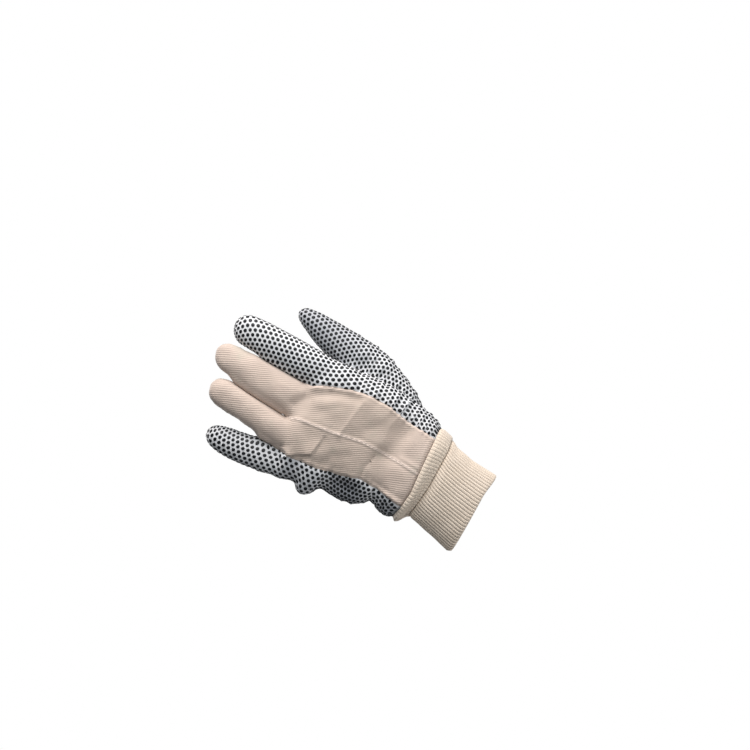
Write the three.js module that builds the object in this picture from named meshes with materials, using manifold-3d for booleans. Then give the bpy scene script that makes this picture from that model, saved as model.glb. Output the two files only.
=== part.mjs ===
// Cotton work glove for the left hand, with a dotted palm, a plain drill back and a knitted cuff.
// Millimetres. +Z runs from the wrist to the fingertips, +X towards the thumb and +Y out of the palm,
// so the back of the hand faces -Y. The origin is the centre of the cuff's free edge.

import * as THREE from 'three';
import { mergeVertices } from 'three/addons/utils/BufferGeometryUtils.js';
import Module from 'manifold-3d';

const wasm = await Module();
wasm.setup();

// Knitted cuff
const CUFF_LENGTH = 60;
const CUFF_WIDTH = 80;
const CUFF_DEPTH = 44;
const BAND_HEIGHT = 13;
const EDGE_DIP = 3;
const EDGE_DIP_SPAN = { from: 0.2, to: 0.5 };
const KNIT_THICKNESS = 2.8;
const RIB_COUNT = 66;
const RIB_HEIGHT = 0.8;

// Cloth hand
const CLOTH_THICKNESS = 1.6;
const HAND_LENGTH = 120;
const HAND_DEPTH = 44;
const CROTCH_DIP = 9;
const CROTCH_DIP_SPAN = { from: -0.12, to: -0.36, low: 0.85, high: 1.03 };

// Fingers, from their bases to their tips
const FINGER_DEPTH = 22;
const FINGER_CLEARANCE = 1.3;
const INDEX_LENGTH = 87;
const INDEX_WIDTH = 30;
const MIDDLE_LENGTH = 90.5;
const MIDDLE_WIDTH = 32.6;
const RING_LENGTH = 80;
const RING_WIDTH = 28;
const LITTLE_LENGTH = 70.5;
const LITTLE_WIDTH = 26;

// Thumb, from the cuff to its tip
const THUMB_LENGTH = 162;
const THUMB_WIDTH = 40;
const THUMB_DEPTH = 34;

// Clear distance between two pieces that are sewn together
const SEAM_CLEARANCE = 0.3;

// Places that follow from the sizes
const HAND_WIDTH = INDEX_WIDTH + MIDDLE_WIDTH + RING_WIDTH + LITTLE_WIDTH + 3 * FINGER_CLEARANCE;
const MIDDLE_RING_GAP = -0.034 * HAND_WIDTH;
const FINGER_BASE = CUFF_LENGTH + HAND_LENGTH;
const LITTLE_BASE = CUFF_LENGTH + 0.935 * HAND_LENGTH;
const MIDDLE_LEFT = MIDDLE_RING_GAP + FINGER_CLEARANCE / 2;
const INDEX_LEFT = MIDDLE_LEFT + MIDDLE_WIDTH + FINGER_CLEARANCE;
const RING_LEFT = MIDDLE_RING_GAP - FINGER_CLEARANCE / 2 - RING_WIDTH;
const LITTLE_LEFT = RING_LEFT - FINGER_CLEARANCE - LITTLE_WIDTH;

// How far a cutter reaches past everything that it cuts
const REACH = 2 * HAND_WIDTH;

// Mesh density
const HAND_SIDES = 30;
const FINGER_SIDES = 14;
const THUMB_SIDES = 14;
const LINING_SIDES = 26;
const FINGER_ROUNDNESS = 2.25;
const CUFF_ROUNDNESS = 2.15;

// The cuff below its band: rise is a share of the plain length, the others shares of width and depth.
const CUFF_ROWS = [
  { rise: 0.00, left: -0.484, right: 0.478, back: -0.485, front: 0.485 },
  { rise: 0.08, left: -0.503, right: 0.502, back: -0.498, front: 0.498 },
  { rise: 0.48, left: -0.442, right: 0.517, back: -0.500, front: 0.500 },
  { rise: 0.84, left: -0.395, right: 0.562, back: -0.496, front: 0.500 },
];

// The rolled band: rise is a share of its height.
const BAND_ROWS = [
  { rise: 0.12, left: -0.371, right: 0.632, back: -0.440, front: 0.475 },
  { rise: 0.36, left: -0.425, right: 0.652, back: -0.520, front: 0.510 },
  { rise: 0.74, left: -0.493, right: 0.668, back: -0.560, front: 0.540 },
  { rise: 1.00, left: -0.482, right: 0.664, back: -0.530, front: 0.528 },
];

// The hand from the cuff to the finger bases: shares of its length, width and depth.
const HAND_ROWS = [
  { rise: 0.065, left: -0.328, right: 0.468, back: -0.515, front: 0.533, round: 2.2 },
  { rise: 0.140, left: -0.306, right: 0.494, back: -0.485, front: 0.522, round: 2.2 },
  { rise: 0.208, left: -0.287, right: 0.509, back: -0.468, front: 0.520, round: 2.2 },
  { rise: 0.267, left: -0.332, right: 0.519, back: -0.468, front: 0.522, round: 2.25 },
  { rise: 0.345, left: -0.374, right: 0.532, back: -0.475, front: 0.522, round: 2.3 },
  { rise: 0.430, left: -0.389, right: 0.541, back: -0.472, front: 0.515, round: 2.4 },
  { rise: 0.583, left: -0.388, right: 0.534, back: -0.443, front: 0.488, round: 2.4 },
  { rise: 0.630, left: -0.444, right: 0.528, back: -0.432, front: 0.477, round: 2.35 },
  { rise: 0.675, left: -0.483, right: 0.523, back: -0.424, front: 0.466, round: 2.3 },
  { rise: 0.717, left: -0.482, right: 0.518, back: -0.415, front: 0.455, round: 2.35 },
  { rise: 0.762, left: -0.438, right: 0.514, back: -0.408, front: 0.443, round: 2.4 },
  { rise: 0.812, left: -0.442, right: 0.510, back: -0.396, front: 0.430, round: 2.5 },
  { rise: 0.933, left: -0.471, right: 0.502, back: -0.325, front: 0.352, round: 2.6 },
  { rise: 0.983, left: -0.464, right: 0.497, back: -0.255, front: 0.284, round: 2.6 },
  { rise: 1.017, left: -0.445, right: 0.470, back: -0.150, front: 0.180, round: 2.5 },
  { rise: 1.033, left: -0.420, right: 0.440, back: -0.050, front: 0.080, round: 2.4 },
];

// Fingers: rise is a share of the finger's length, the edges shares of its width from its left edge,
// curl and depth shares of the finger depth. Rows below 0 lie inside the hand.
const INDEX_ROWS = [
  { rise: -0.340, left: 0.10, right: 0.92, curl: 0.03, depth: 0.84 },
  { rise: -0.170, left: 0.03, right: 0.98, curl: 0.04, depth: 1.00 },
  { rise: 0.000, left: 0.00, right: 1.01, curl: 0.05, depth: 1.05 },
  { rise: 0.220, left: 0.01, right: 1.02, curl: 0.08, depth: 1.04 },
  { rise: 0.450, left: 0.02, right: 1.02, curl: 0.15, depth: 1.01 },
  { rise: 0.640, left: 0.03, right: 1.01, curl: 0.23, depth: 0.98 },
  { rise: 0.790, left: 0.03, right: 1.00, curl: 0.30, depth: 0.95 },
  { rise: 0.880, left: 0.05, right: 0.97, curl: 0.34, depth: 0.87 },
  { rise: 0.940, left: 0.14, right: 0.90, curl: 0.37, depth: 0.72 },
  { rise: 0.980, left: 0.30, right: 0.77, curl: 0.38, depth: 0.46 },
  { rise: 1.000, left: 0.45, right: 0.62, curl: 0.38, depth: 0.18 },
];
const MIDDLE_ROWS = [
  { rise: -0.330, left: 0.12, right: 0.91, curl: 0.00, depth: 0.84 },
  { rise: -0.165, left: 0.05, right: 0.97, curl: 0.00, depth: 1.00 },
  { rise: 0.000, left: 0.00, right: 1.00, curl: 0.00, depth: 1.05 },
  { rise: 0.220, left: 0.01, right: 1.01, curl: 0.03, depth: 1.04 },
  { rise: 0.420, left: 0.03, right: 1.02, curl: 0.09, depth: 1.01 },
  { rise: 0.600, left: 0.08, right: 1.03, curl: 0.16, depth: 0.99 },
  { rise: 0.750, left: 0.14, right: 1.03, curl: 0.23, depth: 0.96 },
  { rise: 0.850, left: 0.18, right: 1.01, curl: 0.28, depth: 0.89 },
  { rise: 0.920, left: 0.27, right: 0.95, curl: 0.31, depth: 0.74 },
  { rise: 0.972, left: 0.42, right: 0.84, curl: 0.33, depth: 0.48 },
  { rise: 1.000, left: 0.58, right: 0.72, curl: 0.33, depth: 0.18 },
];
const RING_ROWS = [
  { rise: -0.375, left: 0.14, right: 0.90, curl: 0.00, depth: 0.84 },
  { rise: -0.190, left: 0.05, right: 0.96, curl: 0.00, depth: 1.00 },
  { rise: 0.000, left: 0.00, right: 1.00, curl: 0.00, depth: 1.04 },
  { rise: 0.240, left: 0.03, right: 1.00, curl: 0.03, depth: 1.02 },
  { rise: 0.440, left: 0.09, right: 1.03, curl: 0.09, depth: 0.99 },
  { rise: 0.620, left: 0.16, right: 1.08, curl: 0.16, depth: 0.96 },
  { rise: 0.760, left: 0.20, right: 1.12, curl: 0.23, depth: 0.93 },
  { rise: 0.860, left: 0.24, right: 1.14, curl: 0.28, depth: 0.86 },
  { rise: 0.925, left: 0.32, right: 1.11, curl: 0.31, depth: 0.72 },
  { rise: 0.975, left: 0.47, right: 0.98, curl: 0.33, depth: 0.46 },
  { rise: 1.000, left: 0.66, right: 0.82, curl: 0.33, depth: 0.18 },
];
const LITTLE_ROWS = [
  { rise: -0.340, left: 0.38, right: 0.94, curl: 0.10, depth: 0.70 },
  { rise: -0.150, left: 0.22, right: 0.97, curl: 0.14, depth: 0.86 },
  { rise: 0.020, left: 0.12, right: 1.00, curl: 0.18, depth: 0.93 },
  { rise: 0.200, left: 0.00, right: 1.00, curl: 0.24, depth: 0.95 },
  { rise: 0.460, left: -0.09, right: 0.97, curl: 0.34, depth: 0.93 },
  { rise: 0.680, left: -0.11, right: 0.86, curl: 0.46, depth: 0.90 },
  { rise: 0.830, left: -0.09, right: 0.78, curl: 0.55, depth: 0.84 },
  { rise: 0.920, left: 0.00, right: 0.69, curl: 0.60, depth: 0.70 },
  { rise: 0.978, left: 0.12, right: 0.56, curl: 0.63, depth: 0.46 },
  { rise: 1.000, left: 0.26, right: 0.42, curl: 0.63, depth: 0.18 },
];

// Thumb: rise is a share of its length, axis a share of the hand's width, forward of the hand's depth,
// width and depth shares of its own.
const THUMB_ROWS = [
  { rise: 0.086, axis: 0.365, width: 0.26, forward: 0.20, depth: 0.36 },
  { rise: 0.150, axis: 0.402, width: 0.62, forward: 0.25, depth: 0.68 },
  { rise: 0.225, axis: 0.445, width: 0.81, forward: 0.30, depth: 0.89 },
  { rise: 0.320, axis: 0.485, width: 0.94, forward: 0.34, depth: 0.98 },
  { rise: 0.430, axis: 0.540, width: 1.01, forward: 0.38, depth: 1.00 },
  { rise: 0.540, axis: 0.580, width: 0.95, forward: 0.42, depth: 0.95 },
  { rise: 0.650, axis: 0.610, width: 0.84, forward: 0.45, depth: 0.86 },
  { rise: 0.765, axis: 0.629, width: 0.75, forward: 0.48, depth: 0.77 },
  { rise: 0.870, axis: 0.656, width: 0.60, forward: 0.49, depth: 0.68 },
  { rise: 0.926, axis: 0.671, width: 0.47, forward: 0.50, depth: 0.59 },
  { rise: 0.968, axis: 0.681, width: 0.360, forward: 0.50, depth: 0.46 },
  { rise: 0.992, axis: 0.684, width: 0.240, forward: 0.50, depth: 0.30 },
  { rise: 1.000, axis: 0.685, width: 0.13, forward: 0.50, depth: 0.16 },
];

// Seams on the back of the hand: shares of the hand's length and width.
const SEAM_ROWS = [
  { rise: -0.02, little_side: -0.216, centre: 0.062, thumb_side: 0.349, front: -0.05 },
  { rise: 0.250, little_side: -0.189, centre: 0.075, thumb_side: 0.373, front: -0.05 },
  { rise: 0.360, little_side: -0.183, centre: 0.075, thumb_side: 0.394, front: -0.05 },
  { rise: 0.475, little_side: -0.224, centre: 0.070, thumb_side: 0.402, front: -0.05 },
  { rise: 0.583, little_side: -0.251, centre: 0.050, thumb_side: 0.398, front: -0.03 },
  { rise: 0.692, little_side: -0.269, centre: 0.028, thumb_side: 0.382, front: -0.02 },
  { rise: 0.900, little_side: -0.293, centre: 0.000, thumb_side: 0.307, front: 0.02 },
  { rise: 0.975, little_side: -0.297, centre: -0.011, thumb_side: 0.266, front: 0.05 },
];
const FINGER_SEAM_FRONT = 0.16;

// Soft folds of the cloth: shares of the hand's width and length, push a share of its depth.
const FOLDS = [
  { face: 'back', across: 0.19, up: 0.635, wide: 0.20, high: 0.030, slope: 0.00, push: -0.030 },
  { face: 'back', across: -0.15, up: 0.750, wide: 0.09, high: 0.035, slope: 0.35, push: 0.045 },
  { face: 'back', across: -0.24, up: 0.830, wide: 0.06, high: 0.050, slope: -0.90, push: -0.050 },
  { face: 'back', across: -0.06, up: 0.355, wide: 0.14, high: 0.035, slope: 0.00, push: 0.040 },
  { face: 'back', across: 0.21, up: 0.240, wide: 0.15, high: 0.070, slope: 0.00, push: -0.085 },
  { face: 'back', across: 0.24, up: 0.890, wide: 0.14, high: 0.100, slope: -0.60, push: -0.055 },
  { face: 'back', across: -0.12, up: 0.950, wide: 0.08, high: 0.090, slope: 0.30, push: 0.030 },
  { face: 'palm', across: 0.06, up: 0.400, wide: 0.16, high: 0.300, slope: 0.00, push: -0.110 },
  { face: 'palm', across: 0.24, up: 0.555, wide: 0.16, high: 0.028, slope: 0.10, push: -0.060 },
  { face: 'palm', across: -0.08, up: 0.985, wide: 0.22, high: 0.035, slope: 0.00, push: -0.050 },
  { face: 'palm', across: 0.22, up: 0.120, wide: 0.10, high: 0.060, slope: 0.00, push: 0.070 },
];

const MATERIALS = {
  dotted: new THREE.MeshStandardMaterial({ color: 0xc9ccce, roughness: 0.9, metalness: 0 }),
  drill: new THREE.MeshStandardMaterial({ color: 0xd6c2b0, roughness: 0.92, metalness: 0 }),
  knit: new THREE.MeshStandardMaterial({ color: 0xd9cab9, roughness: 0.95, metalness: 0 }),
};

const mix = (from, to, share) => from + (to - from) * share;

const ramp = (value, from, to) => {
  const share = THREE.MathUtils.clamp((value - from) / (to - from), 0, 1);
  return share * share * (3 - 2 * share);
};

// Reads a column of a table at any rise, straight between its rows.
function read(rows, rise, column) {
  const next = rows.findIndex((row) => row.rise >= rise);
  if (next === 0) return rows[0][column];
  if (next < 0) return rows.at(-1)[column];
  const [low, high] = [rows[next - 1], rows[next]];
  return mix(low[column], high[column], (rise - low.rise) / (high.rise - low.rise));
}

// Turns a closed geometry into a solid.
function toSolid(geometry) {
  geometry.deleteAttribute('normal');
  geometry.deleteAttribute('uv');
  const merged = mergeVertices(geometry);
  const vertProperties = new Float32Array(merged.attributes.position.array);
  const triVerts = new Uint32Array(merged.index.array);
  return new wasm.Manifold(new wasm.Mesh({ numProp: 3, vertProperties, triVerts }));
}

// Turns a solid into a named mesh.
function toMesh(name, solid, material) {
  const { vertProperties, triVerts } = solid.getMesh();
  const geometry = new THREE.BufferGeometry();
  geometry.setAttribute('position', new THREE.BufferAttribute(new Float32Array(vertProperties), 3));
  geometry.setIndex(new THREE.BufferAttribute(new Uint32Array(triVerts), 1));
  geometry.computeVertexNormals();
  const mesh = new THREE.Mesh(geometry, material);
  mesh.name = name;
  return mesh;
}

// The biggest separate piece of a solid, without the crumbs of a cut.
function biggest(solid) {
  return solid.decompose().reduce((best, piece) => (piece.volume() > best.volume() ? piece : best));
}

function centreOfSection({ left, right, back, front, z }) {
  return new THREE.Vector3((left + right) / 2, (back + front) / 2, z);
}

// A section is a rounded box shape: its edges, its faces and how square it is.
function pointOnSection(section, turn) {
  const bend = (value) => Math.sign(value) * Math.abs(value) ** (2 / section.round);
  const { x, y, z } = centreOfSection(section);
  return new THREE.Vector3(
    x + bend(Math.cos(turn)) * (section.right - section.left) / 2,
    y + bend(Math.sin(turn)) * (section.front - section.back) / 2,
    z,
  );
}

// Turns that lie evenly along a section's outline, one for each side
function evenTurns(section, sides) {
  const steps = 16 * sides;
  const lengths = [0];
  for (let i = 1; i <= steps; i += 1) {
    const from = pointOnSection(section, (2 * Math.PI * (i - 1)) / steps);
    const to = pointOnSection(section, (2 * Math.PI * i) / steps);
    lengths.push(lengths[i - 1] + from.distanceTo(to));
  }
  return Array.from({ length: sides }, (_, side) => {
    const wanted = (side / sides) * lengths[steps];
    return (2 * Math.PI * lengths.findIndex((length) => length >= wanted)) / steps;
  });
}

// A closed form through a list of sections. Outset moves its surface out, or in if negative.
// Shape, if given, moves each point once more.
function loft(sections, sides, outset = 0, shape = (point) => point) {
  const rows = sections.length - 1;
  const geometry = new THREE.CylinderGeometry(1, 1, 1, sides, rows);
  const position = geometry.attributes.position;
  for (let i = 0; i < position.count; i += 1) {
    const section = sections[Math.round((position.getY(i) + 0.5) * rows)];
    const onRim = Math.hypot(position.getX(i), position.getZ(i)) > 0.5;
    const turn = onRim ? Math.atan2(-position.getZ(i), position.getX(i)) : 0;
    const start = onRim ? pointOnSection(section, turn) : centreOfSection(section);
    const { x, y, z } = shape(start, turn, section, onRim);
    position.setXYZ(i, x, y, z);
  }
  geometry.deleteAttribute('normal');
  geometry.deleteAttribute('uv');
  const merged = mergeVertices(geometry);
  if (outset !== 0) moveAlongNormals(merged, outset);
  return toSolid(merged);
}

// The same sections with straight ends added below and above them
function withEnds(sections, below, above) {
  const low = sections[0];
  const high = sections.at(-1);
  const list = [...sections];
  if (below > 0) list.unshift({ ...low, z: low.z - below });
  if (above > 0) list.push({ ...high, z: high.z + above });
  return list;
}

function moveAlongNormals(geometry, distance) {
  geometry.computeVertexNormals();
  const { position, normal } = geometry.attributes;
  for (let i = 0; i < position.count; i += 1) {
    position.setXYZ(
      i,
      position.getX(i) + normal.getX(i) * distance,
      position.getY(i) + normal.getY(i) * distance,
      position.getZ(i) + normal.getZ(i) * distance,
    );
  }
}

// A closed block through rows of left, right, back and front edges at their heights.
function block(rows) {
  const geometry = new THREE.BoxGeometry(1, 1, 1, 1, 1, rows.length - 1);
  const position = geometry.attributes.position;
  for (let i = 0; i < position.count; i += 1) {
    const row = rows[Math.round((position.getZ(i) + 0.5) * (rows.length - 1))];
    const x = position.getX(i) < 0 ? row.left : row.right;
    const y = position.getY(i) < 0 ? row.back : row.front;
    position.setXYZ(i, x, y, row.z);
  }
  return toSolid(geometry);
}

// Sections of the cuff, from its free edge to the seam with the hand
function cuffSections() {
  const plain = CUFF_LENGTH - BAND_HEIGHT;
  const place = (row, z) => ({
    z,
    left: row.left * CUFF_WIDTH,
    right: row.right * CUFF_WIDTH,
    back: row.back * CUFF_DEPTH,
    front: row.front * CUFF_DEPTH,
    round: CUFF_ROUNDNESS,
  });
  return [
    ...CUFF_ROWS.map((row) => place(row, row.rise * plain)),
    ...BAND_ROWS.map((row) => place(row, plain + row.rise * BAND_HEIGHT)),
  ];
}

function makeCuff() {
  const sections = cuffSections();
  const sides = 2 * RIB_COUNT;
  const turns = evenTurns(sections[2], sides);
  const shapeRib = (start, turn, section, onRim) => {
    const side = (Math.round((turn / (2 * Math.PI)) * sides) + sides) % sides;
    const point = onRim ? pointOnSection(section, turns[side]) : start;
    const inGroove = onRim && side % 2 === 1;
    if (inGroove) {
      const inward = centreOfSection(section).sub(point).normalize();
      point.addScaledVector(inward, RIB_HEIGHT);
    }
    const atEdge = 1 - ramp(point.z, 0, BAND_HEIGHT);
    const { from, to } = EDGE_DIP_SPAN;
    point.z -= EDGE_DIP * atEdge * ramp(point.x / CUFF_WIDTH, from, to);
    return point;
  };
  const outer = loft(sections, sides, 0, shapeRib);
  const lining = loft(withEnds(sections, CUFF_DEPTH, CUFF_DEPTH), LINING_SIDES, -KNIT_THICKNESS);
  return outer.subtract(lining);
}

// Sections of the hand, starting from the cuff's own last section
function handSections() {
  const seam = cuffSections().at(-1);
  const rows = HAND_ROWS.map((row) => ({
    z: CUFF_LENGTH + row.rise * HAND_LENGTH,
    left: row.left * HAND_WIDTH,
    right: row.right * HAND_WIDTH,
    back: row.back * HAND_DEPTH,
    front: row.front * HAND_DEPTH,
    round: row.round,
  }));
  return [{ ...seam, z: CUFF_LENGTH + SEAM_CLEARANCE }, ...rows];
}

function foldCloth(point, turn) {
  const rise = (point.z - CUFF_LENGTH) / HAND_LENGTH;
  for (const fold of FOLDS) {
    const facing = fold.face === 'back' ? -Math.sin(turn) : Math.sin(turn);
    const acrossFold = (point.x / HAND_WIDTH - fold.across) / fold.wide;
    const alongFold = (rise - fold.up - fold.slope * (point.x / HAND_WIDTH - fold.across)) / fold.high;
    const strength = Math.exp(-(acrossFold ** 2) - alongFold ** 2) * Math.max(facing, 0);
    const outward = fold.face === 'back' ? -1 : 1;
    point.y += outward * strength * fold.push * HAND_DEPTH;
  }
  const { from, to, low, high } = CROTCH_DIP_SPAN;
  point.z -= CROTCH_DIP * ramp(point.x / HAND_WIDTH, from, to) * ramp(rise, low, high);
  return point;
}

function fingerSections(rows, base, length, left, width) {
  return rows.map((row) => ({
    z: base + row.rise * length,
    left: left + row.left * width,
    right: left + row.right * width,
    back: (row.curl - row.depth / 2) * FINGER_DEPTH,
    front: (row.curl + row.depth / 2) * FINGER_DEPTH,
    round: FINGER_ROUNDNESS,
  }));
}

function thumbSections() {
  return THUMB_ROWS.map((row) => ({
    z: CUFF_LENGTH + row.rise * THUMB_LENGTH,
    left: row.axis * HAND_WIDTH - row.width * THUMB_WIDTH / 2,
    right: row.axis * HAND_WIDTH + row.width * THUMB_WIDTH / 2,
    back: row.forward * HAND_DEPTH - row.depth * THUMB_DEPTH / 2,
    front: row.forward * HAND_DEPTH + row.depth * THUMB_DEPTH / 2,
    round: FINGER_ROUNDNESS,
  }));
}

const FINGERS = {
  index: fingerSections(INDEX_ROWS, FINGER_BASE, INDEX_LENGTH, INDEX_LEFT, INDEX_WIDTH),
  middle: fingerSections(MIDDLE_ROWS, FINGER_BASE, MIDDLE_LENGTH, MIDDLE_LEFT, MIDDLE_WIDTH),
  ring: fingerSections(RING_ROWS, FINGER_BASE, RING_LENGTH, RING_LEFT, RING_WIDTH),
  little: fingerSections(LITTLE_ROWS, LITTLE_BASE, LITTLE_LENGTH, LITTLE_LEFT, LITTLE_WIDTH),
};

// The hand and its four fingers as one full form
function handForm(outset) {
  const sections = withEnds(handSections(), outset < 0 ? CUFF_DEPTH : 0, 0);
  let form = loft(sections, HAND_SIDES, outset, foldCloth);
  for (const finger of Object.values(FINGERS)) {
    form = form.add(loft(finger, FINGER_SIDES, outset));
  }
  return form;
}

// The line halfway between two neighbouring fingers
function between(leftFinger, rightFinger, z) {
  const edge = (sections, column) => {
    const next = sections.findIndex((section) => section.z >= z);
    if (next <= 0) return sections.at(next)[column];
    const [low, high] = [sections[next - 1], sections[next]];
    return mix(low[column], high[column], (z - low.z) / (high.z - low.z));
  };
  return (edge(leftFinger, 'right') + edge(rightFinger, 'left')) / 2;
}

const GAP_STEPS = [0, 0.22, 0.45, 0.68, 0.88];

// Heights along a finger, from its base to near its tip, and one beyond every finger
function gapHeights(base, length) {
  return [...GAP_STEPS.map((step) => base + step * length), base + REACH];
}

// Everything of a finger above its base, as far as halfway to its neighbours
function fingerBlock(name, base, length, grow) {
  const { index, middle, ring, little } = FINGERS;
  const leftOf = { index: [middle, index], middle: [ring, middle], ring: [little, ring] }[name];
  const rightOf = { middle: [middle, index], ring: [ring, middle], little: [little, ring] }[name];
  return block(gapHeights(base, length).map((z, row, all) => {
    const at = row === all.length - 1 ? all[row - 1] : z;
    return {
      z: row === 0 ? z - grow : z,
      left: leftOf ? between(...leftOf, at) - grow : -REACH,
      right: rightOf ? between(...rightOf, at) + grow : REACH,
      back: -REACH,
      front: REACH,
    };
  }));
}

// The heights at which the cutters of the back follow the seams, then the gaps between the fingers
function backRows() {
  const seams = SEAM_ROWS.map((row) => ({
    z: CUFF_LENGTH + row.rise * HAND_LENGTH,
    little_side: row.little_side * HAND_WIDTH,
    centre: row.centre * HAND_WIDTH,
    thumb_side: row.thumb_side * HAND_WIDTH,
    front: row.front * HAND_DEPTH,
  }));
  const gaps = gapHeights(FINGER_BASE, MIDDLE_LENGTH).map((z, row, all) => {
    const at = row === all.length - 1 ? all[row - 1] : z;
    const rise = (at - FINGER_BASE) / MIDDLE_LENGTH;
    return {
      z: row === 0 ? z + SEAM_CLEARANCE : z,
      little_side: between(FINGERS.little, FINGERS.ring, at),
      centre: between(FINGERS.ring, FINGERS.middle, at),
      thumb_side: between(FINGERS.middle, FINGERS.index, at),
      front: (read(MIDDLE_ROWS, rise, 'curl') + FINGER_SEAM_FRONT) * FINGER_DEPTH,
    };
  });
  return [...seams, ...gaps];
}

// Everything behind the seams of the back
function backBlock(grow) {
  return block(backRows().map((row) => ({
    z: row.z,
    left: row.little_side - grow,
    right: row.thumb_side + grow,
    back: -REACH,
    front: row.front + grow,
  })));
}

// Everything on the thumb side of the centre seam
function thumbSideBlock(grow) {
  return block(backRows().map((row) => ({
    z: row.z,
    left: row.centre - grow,
    right: REACH,
    back: -REACH,
    front: REACH,
  })));
}

// Everything behind the seam that runs up the thumb's two edges
function thumbBackBlock(grow) {
  return block(withEnds(thumbSections(), THUMB_DEPTH, THUMB_DEPTH).map((section) => ({
    z: section.z,
    left: -REACH,
    right: REACH,
    back: -REACH,
    front: (section.back + section.front) / 2 + grow,
  })));
}

const shell = handForm(0).subtract(handForm(-CLOTH_THICKNESS));
const half = SEAM_CLEARANCE / 2;
const thumbOuter = loft(thumbSections(), THUMB_SIDES);
const thumbInner = loft(thumbSections(), THUMB_SIDES, -CLOTH_THICKNESS);

const indexBlock = (grow) => fingerBlock('index', FINGER_BASE, INDEX_LENGTH, grow);
const littleBlock = (grow) => fingerBlock('little', LITTLE_BASE, LITTLE_LENGTH, grow);
const middleBlock = (grow) => fingerBlock('middle', FINGER_BASE, MIDDLE_LENGTH, grow);
const ringBlock = (grow) => fingerBlock('ring', FINGER_BASE, RING_LENGTH, grow);

const wholeFingers = indexBlock(half).add(littleBlock(half));
const back = shell.intersect(backBlock(-half)).subtract(wholeFingers);
const dotted = shell.subtract(backBlock(half));

function makePalm() {
  const fingers = wholeFingers.add(middleBlock(half)).add(ringBlock(half));
  return biggest(dotted.subtract(fingers).subtract(thumbInner));
}

const thumbTube = thumbOuter.subtract(thumbInner).subtract(handForm(SEAM_CLEARANCE));

const { dotted: dottedCloth, drill, knit } = MATERIALS;
const group = new THREE.Group();
group.add(
  toMesh('knit_cuff', makeCuff(), knit),
  toMesh('palm_panel', makePalm(), dottedCloth),
  toMesh('index_finger', biggest(shell.intersect(indexBlock(-half))), dottedCloth),
  toMesh('little_finger', biggest(shell.intersect(littleBlock(-half))), dottedCloth),
  toMesh('middle_front', biggest(dotted.intersect(middleBlock(-half))), dottedCloth),
  toMesh('ring_front', biggest(dotted.intersect(ringBlock(-half))), dottedCloth),
  toMesh('back_middle', biggest(back.intersect(thumbSideBlock(-half))), drill),
  toMesh('back_ring', biggest(back.subtract(thumbSideBlock(half))), drill),
  toMesh('thumb_back', biggest(thumbTube.intersect(thumbBackBlock(-half))), dottedCloth),
  toMesh('thumb_front', biggest(thumbTube.subtract(thumbBackBlock(half))), dottedCloth),
);

export default group;
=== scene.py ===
"""Cotton work glove, left hand: cloth panels, sewn seams, knitted cuff and raised grip dots.

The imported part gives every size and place. Lengths here are millimetres until a mesh is moved,
when MM turns them into metres. +Z runs to the fingertips, +X to the thumb, +Y out of the palm.
"""

import math

import bmesh
import bpy
import numpy as np
from mathutils import Matrix, Vector, noise
from mathutils.bvhtree import BVHTree


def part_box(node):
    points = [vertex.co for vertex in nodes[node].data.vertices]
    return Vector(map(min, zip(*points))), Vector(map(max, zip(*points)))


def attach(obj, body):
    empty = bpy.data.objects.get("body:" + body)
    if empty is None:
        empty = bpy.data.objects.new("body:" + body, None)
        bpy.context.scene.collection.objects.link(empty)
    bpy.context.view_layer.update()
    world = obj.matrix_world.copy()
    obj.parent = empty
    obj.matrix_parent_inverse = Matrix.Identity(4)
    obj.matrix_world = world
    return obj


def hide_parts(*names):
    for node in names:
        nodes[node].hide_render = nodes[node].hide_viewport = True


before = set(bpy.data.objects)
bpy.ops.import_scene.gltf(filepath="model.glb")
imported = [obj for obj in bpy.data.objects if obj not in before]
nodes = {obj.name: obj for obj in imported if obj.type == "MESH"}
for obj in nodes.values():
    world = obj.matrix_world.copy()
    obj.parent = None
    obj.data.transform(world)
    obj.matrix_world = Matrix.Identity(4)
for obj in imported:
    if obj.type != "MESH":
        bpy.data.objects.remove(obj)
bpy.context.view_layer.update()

MM = 0.001
FULL_TURN = 2 * math.pi
# Vertices nearer than this, in mm, are one
SAME_PLACE = 0.002

# Cloth nodes by the panel of cloth that they belong to
PANELS = {
    "palm": ("palm_panel", "index_finger", "little_finger"),
    "middle_front": ("middle_front",),
    "ring_front": ("ring_front",),
    "back_middle": ("back_middle",),
    "back_ring": ("back_ring",),
    "thumb": ("thumb_back", "thumb_front"),
}
DRILL = ("back_middle", "back_ring")
FRONTS = ("middle_front", "ring_front")
LABELS = list(PANELS)

# Mesh density
FINE_VOXEL = 0.8
CLOTH_VOXEL = 2.0

# Making one skin of the cloth nodes
CLOSING = 0.22
FINGER_SPREAD = 5.0
SPREAD_FROM = 181
SPREAD_TO = 195
SKIN_FOOT = 61.0

WALL = 1.3


def smoothstep(value, low, high):
    share = np.clip((value - low) / (high - low), 0, 1)
    return share * share * (3 - 2 * share)


def new_object(name, mesh):
    obj = bpy.data.objects.new(name, mesh)
    bpy.context.scene.collection.objects.link(obj)
    return obj


def baked(obj):
    """A new mesh of an object as its modifiers leave it."""
    graph = bpy.context.evaluated_depsgraph_get()
    return bpy.data.meshes.new_from_object(obj.evaluated_get(graph))


def fetch(items, key, width=1, kind=np.float32):
    """One property of all items as an array, with width numbers for each item."""
    flat = np.empty(len(items) * width, kind)
    items.foreach_get(key, flat)
    if kind is np.float32:
        flat = flat.astype(float)
    return flat.reshape(-1, width) if width > 1 else flat


def positions(mesh):
    """A mesh's vertices in millimetres."""
    return fetch(mesh.vertices, "co", 3) / MM


def place(mesh, co):
    mesh.vertices.foreach_set("co", (co * MM).astype(np.float32).ravel())
    mesh.update()


def normals(mesh):
    return fetch(mesh.vertex_normals, "vector", 3)


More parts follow.
